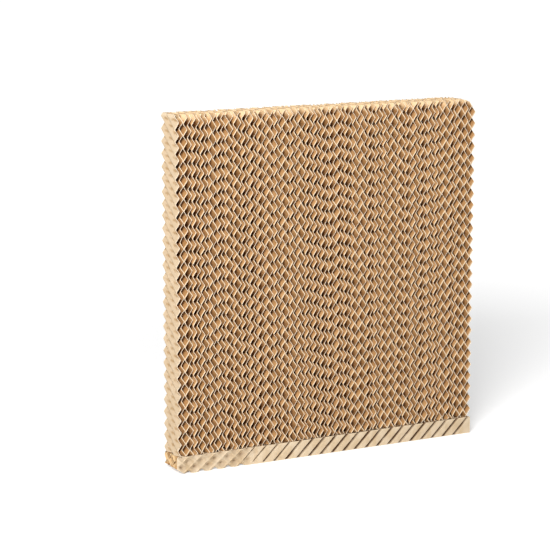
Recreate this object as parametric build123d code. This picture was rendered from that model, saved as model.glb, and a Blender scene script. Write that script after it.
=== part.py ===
from build123d import *
import math
import os
import random

# Evaporative cooling pad, in millimetres.
# Origin in the middle of the underside. X runs across the width, the front looks to -Y, Z is up.
# The pad is a block of waved paper sheets, glued crest to crest with their flutes crossing,
# and it stands on a strip of lying sheets, turned a quarter so that they face the front.

# Driving sizes of the block. The flutes climb from the level at the flute angle
sheet_count = 77
flute_height = 7.0
flute_pitch = 19.3
flute_angle = 35.0
depth = 50.0
height = 560.0

# Driving sizes of the strip along the bottom. Its flutes lean from the upright by the strip lean
strip_height = 28.0
strip_sheet_count = 7
strip_pitch = 21.1
strip_lean = 45.0
groove_mouth = 4.4
groove_floor = 1.4
quilted_length = 127.0

# Resin-stiffened paper, as it measures with the burr that the saw leaves on its edges
paper = 0.6

# Each sheet was waved by itself: its crests start anywhere along the cut, and its pitch is a little off
wave_seed = 11
pitch_scatter = 0.008

# Sheets of one direction that share a node
sheets_per_node = 2

# Sizes that follow from the driving sizes
width = sheet_count * flute_height
strip_spacing = depth / strip_sheet_count
run_climb = depth * math.tan(math.radians(flute_angle))
run_lean = strip_height * math.tan(math.radians(strip_lean))


def swing_within(overall, pitch, slant):
    """Swing of a V wave's middle line, for folds of paper that just reach the overall height."""
    half_pitch = pitch * math.cos(math.radians(slant)) / 2
    lean = paper / half_pitch
    across_fold = lean * (math.sqrt(half_pitch**2 + overall**2 - paper**2) - lean * overall) / (1 - lean**2)
    return overall - across_fold


def folded_ribbon(corners, slant):
    """Outline of a folded line that is as thick as the paper, mitred at the folds.

    The corners lie in the plane of the saw cut, which meets the flutes at a slant. The thickness is
    laid off square to the flutes, so the cut is squeezed to that plane first and stretched back after.
    """
    square = math.cos(math.radians(slant))
    line = [Vector(u * square, v) for u, v in corners]
    runs = [(b - a).normalized() for a, b in zip(line, line[1:])]
    normals = [Vector(-run.Y, run.X) for run in runs]
    pairs = zip(normals[:1] + normals, normals + normals[-1:])
    mitres = [(before + after) * (paper / 2 / (1 + before.dot(after))) for before, after in pairs]
    near = [a - m for a, m in zip(line, mitres)]
    far = [a + m for a, m in zip(line, mitres)]
    return [(a.X / square, a.Y) for a in near + far[::-1]]


def wave_corners(start, end, pitch, swing, phase):
    """Corners of a V wave from before start to after end, half of swing to each side of zero."""
    first = math.floor(start / (pitch / 2)) - 2
    last = math.ceil(end / (pitch / 2)) + 2
    return [((k + 2 * phase) * pitch / 2, swing / 2 * (-1) ** k) for k in range(first, last + 1)]


def block_sheet(number, direction):
    """One upright sheet of the block: its wave is drawn on the front cut and runs back at the flute angle."""
    climb = direction * run_climb
    start = strip_height - max(climb, 0)
    end = height - min(climb, 0)
    pitch = pitches[number]
    corners = wave_corners(start, end, pitch, swing_within(flute_height, pitch, flute_angle), phases[number])
    outline = [(v, -depth / 2, u) for u, v in folded_ribbon(corners, flute_angle)]
    front_cut = Face(Wire.make_polygon(outline, close=True))
    sheet = Solid.extrude(front_cut, Vector(0, depth, climb))
    sawn = Box(flute_height * 2, depth, height - strip_height, align=(Align.CENTER, Align.CENTER, Align.MIN))
    sheet = (sheet & Pos(0, 0, strip_height) * sawn).solids()[0]
    return Pos(-width / 2 + (number + 0.5) * flute_height, 0, 0) * sheet


def strip_sheet(number, direction, corners):
    """One lying sheet of the strip: its wave is drawn on the underside and leans as it climbs."""
    outline = [(u, v, 0) for u, v in folded_ribbon(corners, strip_lean)]
    underside = Face(Wire.make_polygon(outline, close=True))
    sheet = Solid.extrude(underside, Vector(direction * run_lean, 0, strip_height))
    sawn = Box(width, strip_spacing * 2, strip_height, align=(Align.CENTER, Align.CENTER, Align.MIN))
    sheet = (sheet & sawn).solids()[0]
    return Pos(0, -depth / 2 + (number + 0.5) * strip_spacing, 0) * sheet


def pressed_corners(start, end, swing):
    """Corners of the face sheet's wave: broad bars pressed flat at the front, narrow grooves between.

    The left end is pressed flat, and the last groove is the last one that runs out at the strip's top.
    """
    corners = [(start, -swing / 2)]
    groove = quilted_length - width / 2
    while groove + run_lean < width / 2:
        corners.append((groove - groove_mouth / 2, -swing / 2))
        corners.append((groove - groove_floor / 2, swing / 2))
        corners.append((groove + groove_floor / 2, swing / 2))
        corners.append((groove + groove_mouth / 2, -swing / 2))
        groove += strip_pitch
    return corners + [(end, -swing / 2)]


# The block: sheet 0 is the left one, and its flutes fall towards the front
dice = random.Random(wave_seed)
phases = [dice.random() for _ in range(sheet_count)]
pitches = [flute_pitch * (1 + pitch_scatter * dice.uniform(-1, 1)) for _ in range(sheet_count)]
falling = [block_sheet(number, 1) for number in range(0, sheet_count, 2)]
rising = [block_sheet(number, -1) for number in range(1, sheet_count, 2)]

# The strip: its face sheet has bars that lean to the right, and the sheets behind it alternate
reach = width / 2 + run_lean
strip_swing = swing_within(strip_spacing, strip_pitch, strip_lean)
strip_sheets = [strip_sheet(0, 1, pressed_corners(-reach, reach, strip_spacing - paper))]
for number in range(1, strip_sheet_count):
    corners = wave_corners(-reach, reach, strip_pitch, strip_swing, phases[number])
    strip_sheets.append(strip_sheet(number, (-1) ** number, corners))

# One file for each node
os.makedirs("parts", exist_ok=True)
for name, sheets in (("falling_sheets", falling), ("rising_sheets", rising)):
    for start in range(0, len(sheets), sheets_per_node):
        group = sheets[start:start + sheets_per_node]
        export_step(Compound(children=group), f"parts/{name}_{start // sheets_per_node + 1:02d}.step")
export_step(strip_sheets[0], "parts/strip_face_sheet.step")
for number in range(1, strip_sheet_count):
    export_step(strip_sheets[number], f"parts/strip_sheet_{number:02d}.step")
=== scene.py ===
import math
import random

import bpy
from mathutils import Matrix, Vector


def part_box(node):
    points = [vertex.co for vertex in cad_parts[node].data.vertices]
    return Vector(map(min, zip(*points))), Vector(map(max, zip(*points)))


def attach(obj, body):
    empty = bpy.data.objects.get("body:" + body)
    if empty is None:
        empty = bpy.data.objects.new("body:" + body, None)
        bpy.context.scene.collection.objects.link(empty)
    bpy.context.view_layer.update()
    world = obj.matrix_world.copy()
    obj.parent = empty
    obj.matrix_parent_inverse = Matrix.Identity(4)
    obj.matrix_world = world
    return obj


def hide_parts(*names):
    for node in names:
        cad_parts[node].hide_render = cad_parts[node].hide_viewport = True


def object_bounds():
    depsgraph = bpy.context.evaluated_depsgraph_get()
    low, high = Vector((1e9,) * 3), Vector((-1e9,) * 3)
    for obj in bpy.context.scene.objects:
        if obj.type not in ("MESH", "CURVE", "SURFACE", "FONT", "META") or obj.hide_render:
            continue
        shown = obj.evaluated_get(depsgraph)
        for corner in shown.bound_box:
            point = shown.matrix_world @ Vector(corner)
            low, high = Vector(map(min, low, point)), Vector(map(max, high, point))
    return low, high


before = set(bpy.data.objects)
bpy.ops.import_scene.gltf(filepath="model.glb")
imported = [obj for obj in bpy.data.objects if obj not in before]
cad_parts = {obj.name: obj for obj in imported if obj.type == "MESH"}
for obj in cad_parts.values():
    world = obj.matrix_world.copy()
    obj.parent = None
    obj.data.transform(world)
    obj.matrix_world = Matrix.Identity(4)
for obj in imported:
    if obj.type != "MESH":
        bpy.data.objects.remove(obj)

cad_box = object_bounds()

# Evaporative cooling pad, standing on its bottom strip, in metres
# The camera, placed where the photograph was taken from
photo_px = 550
focal_px = 2008
camera_spot = Vector((-1.538, -2.748, 0.8857))
camera_turn = math.radians(27.85)
camera_dip = math.radians(10.748)

camera_data = bpy.data.cameras.new("camera")
camera_data.sensor_width = 36
camera_data.lens = focal_px / photo_px * camera_data.sensor_width
camera = bpy.data.objects.new("camera", camera_data)
camera.location = camera_spot
camera.rotation_euler = (math.pi / 2 - camera_dip, 0, -camera_turn)
bpy.context.scene.collection.objects.link(camera)
bpy.context.scene.camera = camera
bpy.context.scene.view_settings.view_transform = "Standard"


# Inner waved sheets of the block
# Kraft paper waved between hot rolls, dipped in resin and glued crest to crest, every second sheet
# with its flutes the other way. A saw cuts the glued block to size, so all four cut sides are flat.
lowest, highest = (Vector(corner) for corner in cad_box)
strip_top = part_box("strip_face_sheet")[1][2]
pad_width = highest.x - lowest.x
pad_depth = highest.y - lowest.y
sheet_count = 77
sheets_per_node = 2
flute_height = pad_width / sheet_count
flute_pitch = 0.0193
flute_angle = math.radians(35)
paper = 0.0006

# Each sheet was waved by itself: its crests start anywhere along the cut, and its pitch is a little off
wave_seed = 11
pitch_scatter = 0.008
dice = random.Random(wave_seed)
phases = [dice.random() for _ in range(sheet_count)]
pitches = [flute_pitch * (1 + pitch_scatter * dice.uniform(-1, 1)) for _ in range(sheet_count)]

# The last sheets at the right have a worn top corner, and this is how far it is down on each
corner_wear = {73: 0.0004, 74: 0.0013, 75: 0.0038, 76: 0.0115}


def linear_color(hex_code):
    """An sRGB hex colour as linear red, green, blue and alpha."""
    parts = [int(hex_code[i:i + 2], 16) / 255 for i in (1, 3, 5)]
    return [c / 12.92 if c <= 0.04045 else ((c + 0.055) / 1.055) ** 2.4 for c in parts] + [1]


def add_node(tree, kind, inputs=None, **settings):
    """Adds a node with its settings. An input is a value, or an output or Field to link to."""
    node = tree.nodes.new(kind)
    for name, value in settings.items():
        setattr(node, name, value)
    for key, value in (inputs or {}).items():
        value = getattr(value, "socket", value)
        if isinstance(value, bpy.types.NodeSocket):
            tree.links.new(value, node.inputs[key])
        else:
            node.inputs[key].default_value = value
    return node


class Field:
    """A number that varies over a mesh or a surface. What is written with it becomes Math nodes."""

    def __init__(self, tree, socket):
        self.tree = tree
        self.socket = socket

    def math(self, operation, *others):
        """What a Math node makes of this number and the others."""
        numbers = dict(enumerate((self, *others)))
        result = add_node(self.tree, "ShaderNodeMath", numbers, operation=operation)
        return Field(self.tree, result.outputs[0])

    def __add__(self, other):
        return self.math("ADD", other)

    def __sub__(self, other):
        return self.math("SUBTRACT", other)

    def __mul__(self, other):
        return self.math("MULTIPLY", other)

    def __truediv__(self, other):
        return self.math("DIVIDE", other)

    def fade(self, low, high):
        """A smooth rise from 0 at low to 1 at high, or a fall where high is the smaller."""
        ramp = add_node(self.tree, "ShaderNodeMapRange", {0: self, 1: low, 2: high},
                        interpolation_type="SMOOTHSTEP")
        return Field(self.tree, ramp.outputs[0])


def paper_across(overall, pitch, slant):
    """Thickness of the paper across a fold of a V wave, whose flutes meet the cut at that slant."""
    half_pitch = pitch * math.cos(slant) / 2
    lean = paper / half_pitch
    return lean * (math.sqrt(half_pitch**2 + overall**2 - paper**2) - lean * overall) / (1 - lean**2)


# What a place holds: its sheet's phase, pitch and direction, those of the sheet behind it, and its wear
place_marks = ("phase", "pitch", "direction", "next_phase", "next_pitch", "wear")

# Corners of a mesh that are nearer than this are one
weld = 1e-6


def flat_sheet(tree, size, here):
    """A flat grid: a row for each line along the flutes, a column for each step along them.

    It is drawn together to a point, so that a copy's position is the place of its sheet.
    """
    reach = size["Last cut"] - size["First cut"] + size["Climb"]
    rows = (reach / size["Least pitch"] * size["Steps each pitch"]).math("CEIL") + 2
    counts = {"Vertices X": size["Steps along"] + 1, "Vertices Y": rows + 1}
    flat = add_node(tree, "GeometryNodeMeshGrid", counts).outputs[0]
    for label, value in (("along", here[0] + 0.5), ("row", (here[1] + 0.5) * rows)):
        flat = add_node(tree, "GeometryNodeStoreNamedAttribute",
                        {"Geometry": flat, "Name": label, "Value": value},
                        data_type="FLOAT", domain="POINT").outputs[0]
    point = add_node(tree, "ShaderNodeCombineXYZ").outputs[0]
    return add_node(tree, "GeometryNodeSetPosition", {"Geometry": flat, "Position": point}).outputs[0]


def between_cuts(size, spot):
    """Where a place of the flat sheet comes to lie, once the saw has trimmed the ends of its flute."""
    # Where each flute line meets the front cut, kept within the reach of the sheet
    climb = spot["direction"] * size["Climb"]
    last_cut = size["Last cut"] - spot["wear"]
    first = size["First cut"] - climb.math("MAXIMUM", 0)
    last = last_cut - climb.math("MINIMUM", 0)
    step = spot["pitch"] / size["Steps each pitch"]
    offset = spot["phase"] * spot["pitch"]
    start_row = ((first - offset) / step).math("FLOOR")
    turn = (start_row + spot["row"]) / size["Steps each pitch"]
    if "Crowding" in size:
        # The lines stand closer together round each crest, where the narrow grooves need them
        turn = turn - (turn * (2 * math.pi)).math("SINE") * size["Crowding"] / (2 * math.pi)
    row = (turn * spot["pitch"] + offset).math("MAXIMUM", first).math("MINIMUM", last)

    # The saw's cuts at both ends, as the shares of the run where the line starts and stops
    to_first = (size["First cut"] - row) / climb
    to_last = (last_cut - row) / climb
    start = to_first.math("MINIMUM", to_last).math("MAXIMUM", 0)
    stop = to_first.math("MAXIMUM", to_last).math("MINIMUM", 1)
    share = start + spot["along"] * (stop - start)
    return {"share": share, "y": (share - 0.5) * size["Run"], "z": row + share * climb,
            "from_crest": row - offset}


def thicken(tree, near, size):
    """Gives the paper its thickness, as a second face beside the first, and marks the sawn edges."""
    across = add_node(tree, "ShaderNodeCombineXYZ", {0: size["Paper across"]}).outputs[0]
    far = add_node(tree, "GeometryNodeExtrudeMesh", {"Mesh": near, "Offset": across, "Individual": False})
    edge = add_node(tree, "GeometryNodeSwitch", {"Switch": far.outputs["Side"], "True": 1.0},
                    input_type="FLOAT").outputs[0]
    marked = add_node(tree, "GeometryNodeStoreNamedAttribute",
                      {"Geometry": far.outputs["Mesh"], "Name": "sawn", "Value": edge},
                      data_type="FLOAT", domain="FACE").outputs[0]
    back = add_node(tree, "GeometryNodeFlipFaces", {0: near}).outputs[0]
    if "Outer side" in size:
        # Of the paper's two faces, the one turned away from the outer side is marked as inside
        far_inside = size["Outer side"] * -0.5 + 0.5
        marked, back = [add_node(tree, "GeometryNodeStoreNamedAttribute",
                                 {"Geometry": face, "Name": "inside", "Value": inside},
                                 data_type="FLOAT", domain="FACE").outputs[0]
                        for face, inside in ((marked, far_inside), (back, far_inside * -1 + 1))]
    both = add_node(tree, "GeometryNodeJoinGeometry", {0: marked})
    tree.links.new(back, both.inputs[0])
    closed = add_node(tree, "GeometryNodeMergeByDistance", {"Geometry": both.outputs[0], "Distance": weld})
    return closed.outputs[0]


def sheet_tree(name, sizes, shape):
    """Paper sheets at the places given, each trimmed by the saw at both ends of its flutes.

    A sheet lies in the plane of Y and Z. Its flutes cross from the front cut at -Y to the back cut
    and climb or fall on the way, and its waves repeat along Z. sizes are the tree's named inputs.
    shape works out how far the paper stands off that plane, from -1 to 1, how much painted shade it gets
    there and how far the paper is worn back from the front cut.
    """
    tree = bpy.data.node_groups.new(name, "GeometryNodeTree")
    tree.interface.new_socket("Places", in_out="INPUT", socket_type="NodeSocketGeometry")
    tree.interface.new_socket("Paper", in_out="INPUT", socket_type="NodeSocketMaterial")
    for label, value in sizes.items():
        kind = "NodeSocketInt" if isinstance(value, int) else "NodeSocketFloat"
        tree.interface.new_socket(label, in_out="INPUT", socket_type=kind).default_value = value
    tree.interface.new_socket("Sheets", in_out="OUTPUT", socket_type="NodeSocketGeometry")
    given = add_node(tree, "NodeGroupInput").outputs
    size = {label: Field(tree, given[label]) for label in sizes}
    position = add_node(tree, "GeometryNodeInputPosition").outputs[0]
    here = [Field(tree, part) for part in add_node(tree, "ShaderNodeSeparateXYZ", {0: position}).outputs]

    # A copy of the flat sheet at each place, and what is known there
    flat = flat_sheet(tree, size, here)
    copies = add_node(tree, "GeometryNodeInstanceOnPoints", {"Points": given["Places"], "Instance": flat})
    sheets = add_node(tree, "GeometryNodeRealizeInstances", {0: copies.outputs[0]}).outputs[0]
    spot = {}
    for label in ("along", "row", *place_marks):
        stored = add_node(tree, "GeometryNodeInputNamedAttribute", {"Name": label}, data_type="FLOAT")
        spot[label] = Field(tree, stored.outputs[0])
    spot.update(between_cuts(size, spot))

    # The wave, which is never quite even. Neighbours lie far apart in the noise, so that they differ
    neighbours_apart = 40
    noise_place = add_node(tree, "ShaderNodeCombineXYZ",
                           {0: here[0] * neighbours_apart, 1: spot["y"], 2: spot["z"]}).outputs[0]
    noise = {"Vector": noise_place, "W": size["Seed"]}
    bends = add_node(tree, "ShaderNodeTexNoise", {**noise, "Scale": size["Bends each metre"], "Detail": 2},
                     noise_dimensions="4D").outputs[0]
    spot["turn"] = (spot["from_crest"] + (Field(tree, bends) - 0.5) * size["Drift"]) / spot["pitch"]
    stand, painted_shade, worn = shape(size, spot)
    across = size["Paper across"]
    x = here[0] + stand * (size["Wave height"] - across) * 0.5 - across * 0.5

    # The fraying of the sawn ends, always inwards
    frays_each_metre = size["Fray length"].math("POWER", -1)
    frays = add_node(tree, "ShaderNodeTexNoise", {**noise, "Scale": frays_each_metre, "Detail": 1},
                     noise_dimensions="4D").outputs["Color"]
    frays = add_node(tree, "ShaderNodeSeparateXYZ", {0: frays}).outputs
    back_fray, up_fray = [Field(tree, part) * size["Fray"] for part in frays[:2]]
    y = spot["y"] - spot["y"] * back_fray / size["Run"] * 2 + worn
    middle = (size["First cut"] + size["Last cut"]) * 0.5
    z = spot["z"] - (spot["z"] - middle) * up_fray / (size["Last cut"] - size["First cut"]) * 2

    corner = add_node(tree, "ShaderNodeCombineXYZ", {0: x, 1: y, 2: z}).outputs[0]
    near = add_node(tree, "GeometryNodeSetPosition", {"Geometry": sheets, "Position": corner}).outputs[0]
    near = add_node(tree, "GeometryNodeStoreNamedAttribute",
                    {"Geometry": near, "Name": "painted_shade", "Value": painted_shade},
                    data_type="FLOAT", domain="POINT").outputs[0]
    near = add_node(tree, "GeometryNodeMergeByDistance", {"Geometry": near, "Distance": weld}).outputs[0]
    ready = add_node(tree, "GeometryNodeRealizeInstances", {0: thicken(tree, near, size)}).outputs[0]
    coated = add_node(tree, "GeometryNodeSetMaterial", {"Geometry": ready, "Material": given["Paper"]})
    add_node(tree, "NodeGroupOutput", {0: coated.outputs[0]})
    return tree


def grow(name, places, tree, settings):
    """Runs a sheet tree on points that hold each sheet's place and values, and gives a plain mesh piece."""
    points = bpy.data.meshes.new(name)
    points.from_pydata([(place["x"], 0, 0) for place in places], [], [])
    for label in place_marks:
        values = [place.get(label, 0) for place in places]
        points.attributes.new(label, "FLOAT", "POINT").data.foreach_set("value", values)
    seedling = bpy.data.objects.new(name, points)
    bpy.context.scene.collection.objects.link(seedling)
    modifier = seedling.modifiers.new("sheets", "NODES")
    modifier.node_group = tree
    for item in tree.interface.items_tree:
        if item.name in settings:
            modifier[item.identifier] = settings[item.name]
    evaluated = seedling.evaluated_get(bpy.context.evaluated_depsgraph_get())
    mesh = bpy.data.meshes.new_from_object(evaluated)
    seedling.modifiers.remove(modifier)
    seedling.data = mesh
    mesh.name = name
    for label in ("along", "row", *place_marks):
        if label in mesh.attributes:
            mesh.attributes.remove(mesh.attributes[label])
    sharpest_round = math.radians(50)
    mesh.set_sharp_from_angle(angle=sharpest_round)
    return seedling


def waved(size, spot):
    """Straight flanks and rounded crests. An inner sheet gets no painted shade, and its front cut isn't
    worn.
    """
    bend = (spot["turn"] * (2 * math.pi)).math("COSINE") * size["Roundness"]
    nothing = spot["turn"] * 0
    return bend.math("ARCSINE") / size["Roundness"].math("ARCSINE"), nothing, nothing


def kraft_paper(name, colors, lows, highs, rim_widths):
    """Resin-dipped kraft paper: matt, clouded by its fibres, and paler in a rim near the saw cuts.

    lows and highs are the corners of the sawn block. rim_widths gives, for each axis that the saw went
    across, how far in from its cuts the paper is paler. colors are those of the body, its darker clouds,
    the pale rim and the sawn edge. Some pieces have more: those of the side that faces into the block, of
    the painted shade, and of the run of glue at the left end.
    """
    material = bpy.data.materials.new(name)
    material.use_nodes = True
    tree = material.node_tree
    shader = tree.nodes["Principled BSDF"]
    shader.inputs["Roughness"].default_value = 0.78
    shader.inputs["IOR"].default_value = 1.45
    place = add_node(tree, "ShaderNodeTexCoord").outputs["Object"]
    here = [Field(tree, part) for part in add_node(tree, "ShaderNodeSeparateXYZ", {0: place}).outputs]

    # Clouds in the pulp are about 18 mm wide. Its fibres are finer than a pixel, so they are drawn as
    # coarse as they need to be to show, 1.1 mm
    cloud_size = 0.0182
    fibre_size = 0.00111
    fibre_relief = 0.0004
    cloud = add_node(tree, "ShaderNodeTexNoise", {"Vector": place, "Scale": 1 / cloud_size, "Detail": 3})
    cloud = Field(tree, cloud.outputs[0])
    fibre = add_node(tree, "ShaderNodeTexNoise", {"Vector": place, "Scale": 1 / fibre_size, "Detail": 2})
    fibre = Field(tree, fibre.outputs[0])

    # How near the next saw cut is, made uneven by the fibres. The pale rim near the cuts is partly frayed
    # fibres and, on the block, partly painted light
    rim = fibre * 0
    rim_waver = 0.6
    for axis, width in rim_widths.items():
        middle = (lows[axis] + highs[axis]) / 2
        inward = (here[axis] - middle).math("ABSOLUTE") * -1 + (highs[axis] - lows[axis]) / 2
        rim = rim.math("MAXIMUM", (inward / width + (fibre - 0.5) * rim_waver).fade(1, 0.3))

    # Each sheet took up its resin a little differently, which shows beside the clouds
    sheet_part = 0.6
    sheet = ((here[0] - lowest.x) / flute_height).math("FLOOR")
    shade = add_node(tree, "ShaderNodeTexWhiteNoise", {"W": sheet}, noise_dimensions="1D").outputs[0]
    clouded = (cloud.fade(0.3, 0.7) + Field(tree, shade) * sheet_part) / (1 + sheet_part)

    # The painted shade is fainter in some places, and the glue's run at the left end has a wavering border
    marks = {mark: Field(tree, add_node(tree, "ShaderNodeAttribute", attribute_name=mark).outputs["Fac"])
             for mark in ("inside", "painted_shade", "sawn")}
    faintest_painted_shade = 0.4
    uneven_painted_shade = marks["painted_shade"] * (cloud.fade(0.25, 0.6) * (1 - faintest_painted_shade) + faintest_painted_shade)
    run_reach = 0.009
    run_waver = 0.03
    run = (here[0] - lowest.x + (cloud - 0.5) * run_waver).fade(run_reach, run_reach / 3)

    layers = ((clouded, "clouds"), (marks["inside"], "inside"), (rim, "rim"), (run, "run"),
              (uneven_painted_shade, "painted_shade"), (marks["sawn"], "sawn"))
    full = add_node(tree, "ShaderNodeRGB").outputs[0]
    full.default_value = linear_color(colors["body"])
    for amount, label in layers:
        if label in colors:
            full = add_node(tree, "ShaderNodeMix", {0: amount, 6: full, 7: linear_color(colors[label])},
                            data_type="RGBA").outputs[2]
    tree.links.new(full, shader.inputs["Base Color"])
    bump = add_node(tree, "ShaderNodeBump", {"Height": fibre, "Strength": 0.3, "Distance": fibre_relief})
    tree.links.new(bump.outputs[0], shader.inputs["Normal"])
    return material


# Warm brown in the cells, browner than the same paper's outer face: partly the resin's colour and partly
# painted shade. Pale frayed edges, partly painted light. The block's lower cut is glued down on the strip
# and gets no pale rim, so it counts as far below
block_low = (lowest.x, lowest.y, -highest.z)
block_paper = kraft_paper(
    "resin_dipped_kraft_paper",
    {"body": "#C49866", "clouds": "#A67845", "rim": "#EED0A4", "sawn": "#FFECD2"},
    # Pale rims 2.4 mm in from the front and back cuts, partly frayed fibres and partly painted light on the
    # walls near the cut, and 13 mm down from the top, mostly painted light that falls in from above through
    # the open flutes
    block_low, highest, {1: 0.0024, 2: 0.013})
block_sizes = {
    "First cut": strip_top, "Last cut": highest.z, "Run": pad_depth,
    "Climb": pad_depth * math.tan(flute_angle), "Wave height": flute_height, "Least pitch": min(pitches),
    "Paper across": paper_across(flute_height, flute_pitch, flute_angle), "Roundness": 0.985,
    "Drift": 0.0065, "Bends each metre": 28.0, "Fray": 0.0009, "Fray length": 0.0024, "Seed": 3.0,
    "Steps each pitch": 12, "Steps along": 4}
inner_tree = sheet_tree("inner waved sheets", block_sizes, waved)


def sheet_place(number):
    """Where a sheet of the block stands, where its crests start and which way its flutes run."""
    return {"x": lowest.x + (number + 0.5) * flute_height, "phase": phases[number],
            "pitch": pitches[number], "direction": 1 if number % 2 == 0 else -1,
            "wear": corner_wear.get(number, 0)}


def sheet_node(number):
    """Name of the CAD node that holds a sheet of the block."""
    family = "falling" if number % 2 == 0 else "rising"
    return f"{family}_sheets_{number // 2 // sheets_per_node + 1:02d}"


for family, first in (("falling", 2), ("rising", 1)):
    inner = range(first, sheet_count - 1, 2)
    halves = {"left": [n for n in inner if n < sheet_count // 2],
              "right": [n for n in inner if n >= sheet_count // 2]}
    for side, numbers in halves.items():
        places = [sheet_place(n) for n in numbers]
        piece = grow(f"{family}_sheets_{side}", places, inner_tree, {"Paper": block_paper})
        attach(piece, "root")
        nodes = sorted({sheet_node(n) for n in numbers})
        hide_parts(*nodes)


# Outer left and right sheets of the block
# The same waved paper, seen from outside. Where the crests of the next sheet cross behind its valleys, it
# has small dents, each darkened by a stroke of painted shadow.

# A stroke of painted shadow: its size, its slant from the level, and how far from the crossing it lies, in
# turns
stroke_length = 0.013
stroke_width = 0.0030
stroke_slant = math.radians(17)
stroke_offset = 0.34


def waved_with_dents_and_painted_shadow(size, spot):
    """The wave, with a shallow dent and a stroke of painted shadow beside each crossing.

    This sheet's turns and those of the sheet behind, each counted from where they cross, are the skew
    coordinates of a place near it. On the left sheet, the valleys lie half a turn further on.
    """
    stand, _, worn = waved(size, spot)
    side = size["Outer side"]
    next_row = spot["z"] + spot["share"] * spot["direction"] * size["Climb"]
    valley = (side * -1 + 1) / 4
    own = (spot["turn"] + valley - stroke_offset).math("WRAP", 0.5, -0.5)
    beside = (next_row / spot["next_pitch"] - spot["next_phase"] + valley).math("WRAP", 0.5, -0.5)
    up = (beside + own) * (flute_pitch / 2)
    back = (beside - own) * (flute_pitch / 2 / math.tan(flute_angle))
    along = (back * math.cos(stroke_slant) + up * math.sin(stroke_slant)) / (stroke_length / 2)
    across = (up * math.cos(stroke_slant) - back * math.sin(stroke_slant)) / (stroke_width / 2)
    # The stroke is the dent's painted shadow, and the dent is pressed in under it
    painted_shade = (along * along + across * across).fade(1.3, 0.2)
    return stand - side * painted_shade * size["Dent"], painted_shade, worn


# Paler than the cells, with faint strokes of painted shadow. Its side that faces into the block is painted
# brown like them, as painted shade
outer_paper = kraft_paper(
    "resin_dipped_kraft_paper_outer_face",
    {"body": "#CFB99C", "clouds": "#C7AF8E", "inside": "#B98C5A", "rim": "#D8C3A5", "sawn": "#FFECD2",
     "painted_shade": "#AA8A62"},
    block_low, highest, {1: 0.003, 2: 0.008})
outer_sizes = {**block_sizes, "Steps each pitch": 16, "Steps along": 40, "Outer side": 1.0, "Dent": 0.05}
outer_tree = sheet_tree("outer waved sheets", outer_sizes, waved_with_dents_and_painted_shadow)
for label, number, beside, side in (("left", 0, 1, -1.0), ("right", sheet_count - 1, sheet_count - 2, 1.0)):
    place = {**sheet_place(number), "next_phase": phases[beside], "next_pitch": pitches[beside]}
    piece = grow(f"outer_sheet_{label}", [place], outer_tree, {"Paper": outer_paper, "Outer side": side})
    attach(piece, "root")
    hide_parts(sheet_node(number))


# Lying sheets of the strip, behind its face sheet
# Offcuts of the same block, turned a quarter and glued under it, so that their flutes stand on the tray.
# The strip's lower left corner has been rubbed round.
strip_sheet_count = 7
strip_spacing = pad_depth / strip_sheet_count
strip_pitch = 0.0211
strip_lean = math.radians(45)

# Brown like the cells, with bleached ends and a paler run of glue at the left one
strip_paper = kraft_paper(
    "resin_dipped_kraft_paper_strip",
    {"body": "#C89C65", "clouds": "#BB8E59", "rim": "#E6CCA4", "sawn": "#F7DEB6", "run": "#DDBB89"},
    lowest, (highest.x, highest.y, strip_top), {0: 0.0034, 2: 0.0034})
strip_sizes = {
    **block_sizes, "First cut": lowest.x, "Last cut": highest.x, "Run": strip_top,
    "Climb": strip_top * math.tan(strip_lean), "Wave height": strip_spacing, "Least pitch": strip_pitch,
    "Paper across": paper_across(strip_spacing, strip_pitch, strip_lean), "Drift": 0.0036,
    "Corner": 0.008, "Steps along": 6}


def worn_corner(size, spot):
    """How far the strip's lower left corner is rubbed away upwards, in metres."""
    near_end = (spot["z"] - size["First cut"]).fade(size["Corner"] * 1.8, size["Corner"] * -0.4)
    near_floor = (spot["share"] * -1 + 1).math("POWER", 2)
    return near_end * near_floor * size["Corner"]


def waved_and_worn(size, spot):
    """The wave, with the strip's lower left corner rubbed away."""
    stand, painted_shade, _ = waved(size, spot)
    return stand, painted_shade, worn_corner(size, spot)


strip_tree = sheet_tree("lying waved sheets", strip_sizes, waved_and_worn)


def strip_place(number):
    """Where a sheet of the strip lies, counted from the front."""
    return {"x": lowest.y + (number + 0.5) * strip_spacing, "phase": phases[number], "pitch": strip_pitch,
            "direction": 1 if number % 2 == 0 else -1}


# Waves along X, spacing along Y and flutes along Z, from the tree's Z, X and Y
quarter_turn = Matrix(((0, 0, 1, 0), (1, 0, 0, 0), (0, 1, 0, strip_top / 2), (0, 0, 0, 1)))
places = [strip_place(n) for n in range(1, strip_sheet_count)]
piece = grow("strip_sheets", places, strip_tree, {"Paper": strip_paper})
piece.data.transform(quarter_turn)
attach(piece, "root")
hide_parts(*[f"strip_sheet_{n:02d}" for n in range(1, strip_sheet_count)])


# Face sheet of the strip
# The strip's outermost sheet, pressed flat when the strip was glued: broad bars with narrow grooves that
# lean to the right. At the left end the crests of the next sheet have pressed through as a quilted net.

# The grooves are counted from the one at the quilted length. Each is wider than the one before, up to
# the whole mouth. The early ones start above the floor, and the further left they are, the higher
quilted_length = 0.127
first_groove = -1
last_groove = 18
last_early_groove = 1
early_start = 0.001
start_growth = 0.0008
groove_mouth = 0.0072
least_width = 0.35
width_at_zero = 0.5
width_growth = 0.14

# The net's pockets: how far apart they are along and up the strip, and how far the first one is in
# from the left end and below the floor
quilt_span = 0.0231
quilt_rise = 0.0191
quilt_start = 0.0185
quilt_drop = 0.001

# How far from the left end the net begins to fade and is gone. Its border leans the way the grooves do
net_fades = 0.105
net_gone = 0.150
border_lean = 0.6


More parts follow.
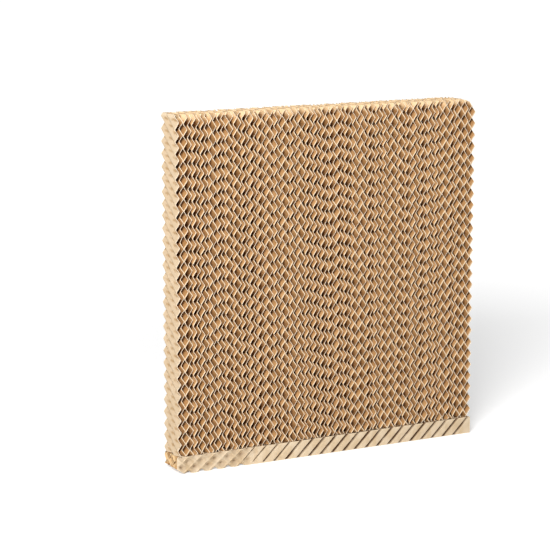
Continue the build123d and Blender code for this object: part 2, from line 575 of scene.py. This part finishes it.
def pressed(size, spot):
    """Rounded bars, grooves that open little by little from the left, and the quilted net before them.

    Painted shade darkens each groove along the wall that hangs over it, and the pockets of the net.
    """
    from_end = spot["z"] - size["First cut"]
    from_floor = spot["y"] + strip_top / 2

    # The nearest groove: how far off it is, and how far it has opened here
    number = (spot["turn"] + 0.5).math("FLOOR")
    off = (spot["turn"] - number) * spot["pitch"]
    within = number.math("GREATER_THAN", first_groove - 0.5) * number.math("LESS_THAN", last_groove + 0.5)
    early = (number * -1 + last_early_groove + 1).math("MAXIMUM", 0)
    opens_at = (early * early * start_growth + early_start) * early.math("GREATER_THAN", 0.5)
    open_here = (from_floor - opens_at).fade(-0.001, 0.003)
    width = (number * width_growth + width_at_zero).math("MAXIMUM", least_width).math("MINIMUM", 1)
    mouth = width * size["Groove mouth"]
    groove = (off.math("ABSOLUTE") / mouth).fade(0.5, 0.12) * open_here * within
    rounding = ((spot["turn"] * (2 * math.pi)).math("COSINE") * 0.5 + 0.5).math("POWER", 3) * 0.1
    shoulder = rounding * within * open_here
    # Painted shade on the groove's floor and on the wall that hangs over it
    groove_painted_shade = groove.fade(0.02, 0.25) * (off / mouth).fade(0.5, 0.3)

    # The net's pockets, sunk between two families of slanting ridges
    across_net = (from_end - size["Quilt start"]) / size["Quilt span"]
    up_net = (from_floor + quilt_drop) / size["Quilt rise"]
    one_way = ((across_net + up_net) * math.pi).math("COSINE").math("ABSOLUTE")
    other_way = ((across_net - up_net) * math.pi).math("COSINE").math("ABSOLUTE")
    pocket = one_way * other_way
    quilted = (from_end - spot["y"] * border_lean).fade(net_gone, net_fades)
    net = (pocket.math("POWER", 0.7) * 0.55 + pocket.math("POWER", 10) * 0.25) * quilted
    # Painted shade over all but the ridges of the net, deepest in the pockets
    slope_painted_shade = one_way.math("MINIMUM", other_way).fade(0.08, 0.4) * 0.24
    pocket_painted_shade = (slope_painted_shade + pocket.math("POWER", 8) * 0.55) * quilted

    # The left end, curled in, and the notches that the pockets leave in the lower edge
    curl = from_end.fade(size["Curl"], -0.001) * 0.5
    near_floor = (spot["share"] * -1 + 1).math("POWER", 4)
    notch = pocket.fade(0.5, 0.95) * quilted * near_floor * size["Notch"]
    sunk = groove.math("MAXIMUM", net).math("MAXIMUM", shoulder).math("MAXIMUM", curl)
    painted_shade = pocket_painted_shade.math("MAXIMUM", groove_painted_shade)
    return sunk * 2 - 1, painted_shade, worn_corner(size, spot).math("MAXIMUM", notch)


# Pale and flat, with dark brown painted shade in the grooves and in the net's pockets
face_paper = kraft_paper(
    "pressed_kraft_paper",
    {"body": "#E2CFB3", "clouds": "#CDB38E", "rim": "#E3CEAE", "sawn": "#FFE9CB", "painted_shade": "#5E3B1A"},
    lowest, (highest.x, highest.y, strip_top), {0: 0.003, 2: 0.002})
face_sizes = {
    **strip_sizes, "Paper across": paper, "Crowding": 0.55, "Steps each pitch": 20, "Steps along": 26,
    "Groove mouth": groove_mouth, "Quilt span": quilt_span, "Quilt rise": quilt_rise,
    "Quilt start": quilt_start, "Curl": 0.007, "Notch": 0.003, "Drift": 0.001, "Fray": 0.0006,
    "Fray length": 0.007}
face_tree = sheet_tree("pressed face sheet", face_sizes, pressed)
face_place = {**strip_place(0), "phase": (lowest.x + quilted_length) / strip_pitch}
piece = grow("strip_face", [face_place], face_tree, {"Paper": face_paper})
piece.data.transform(quarter_turn)
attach(piece, "root")
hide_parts("strip_face_sheet")


# Floor and light
# A plain roll of pale paper that takes the pad's shadow and runs off to white, one large soft lamp at
# the upper left, and a pale sky all round.
def show_white(tree, strength):
    """An emission that only the camera and mirror-like rays see."""
    path = add_node(tree, "ShaderNodeLightPath").outputs
    seen = Field(tree, path["Is Camera Ray"])
    for other in ("Is Glossy Ray", "Is Transmission Ray"):
        seen = seen.math("MAXIMUM", Field(tree, path[other]))
    return seen * strength


floor_reach = 60
floor_mesh = bpy.data.meshes.new("floor")
floor_mesh.from_pydata([(-floor_reach, -floor_reach, 0), (floor_reach, -floor_reach, 0),
                        (floor_reach, floor_reach, 0), (-floor_reach, floor_reach, 0)], [], [(0, 1, 2, 3)])
floor = bpy.data.objects.new("floor", floor_mesh)
bpy.context.scene.collection.objects.link(floor)

# Matt, and whiter further from the pad, so that it has no edge in view
near_distance = 0.5
near_glow = 0.43
far_distance = 2.5
far_glow = 0.75
floor_paint = bpy.data.materials.new("matt_white_paper_roll")
floor_paint.use_nodes = True
roll = floor_paint.node_tree
paint = roll.nodes["Principled BSDF"]
paint.inputs["Base Color"].default_value = linear_color("#F2F2F2")
paint.inputs["Roughness"].default_value = 0.9
paint.inputs["Emission Color"].default_value = (1, 1, 1, 1)
floor_place = add_node(roll, "ShaderNodeTexCoord").outputs["Object"]
distance = add_node(roll, "ShaderNodeVectorMath", {0: floor_place}, operation="LENGTH").outputs["Value"]
far_off = Field(roll, distance).fade(near_distance, far_distance)
floor_glow = show_white(roll, far_off * (far_glow - near_glow) + near_glow)
roll.links.new(floor_glow.socket, paint.inputs["Emission Strength"])
floor_mesh.materials.append(floor_paint)

sky_strength = 0.3
world = bpy.data.worlds.new("pale sky")
bpy.context.scene.world = world
world.use_nodes = True
sky = world.node_tree.nodes["Background"]
sky.inputs["Color"].default_value = (1, 1, 1, 1)
sky_glow = show_white(world.node_tree, 1 - sky_strength) + sky_strength
world.node_tree.links.new(sky_glow.socket, sky.inputs["Strength"])

lamp_aim = Vector((0, 0, 0.3))
lamp_data = bpy.data.lights.new("key", "AREA")
lamp_data.shape = "SQUARE"
lamp_data.size = 1.0
lamp_data.energy = 117
lamp = bpy.data.objects.new("key", lamp_data)
lamp.location = (-1.95, -2.35, 1.9)
lamp.rotation_euler = (lamp_aim - lamp.location).to_track_quat("-Z", "Y").to_euler()
bpy.context.scene.collection.objects.link(lamp)
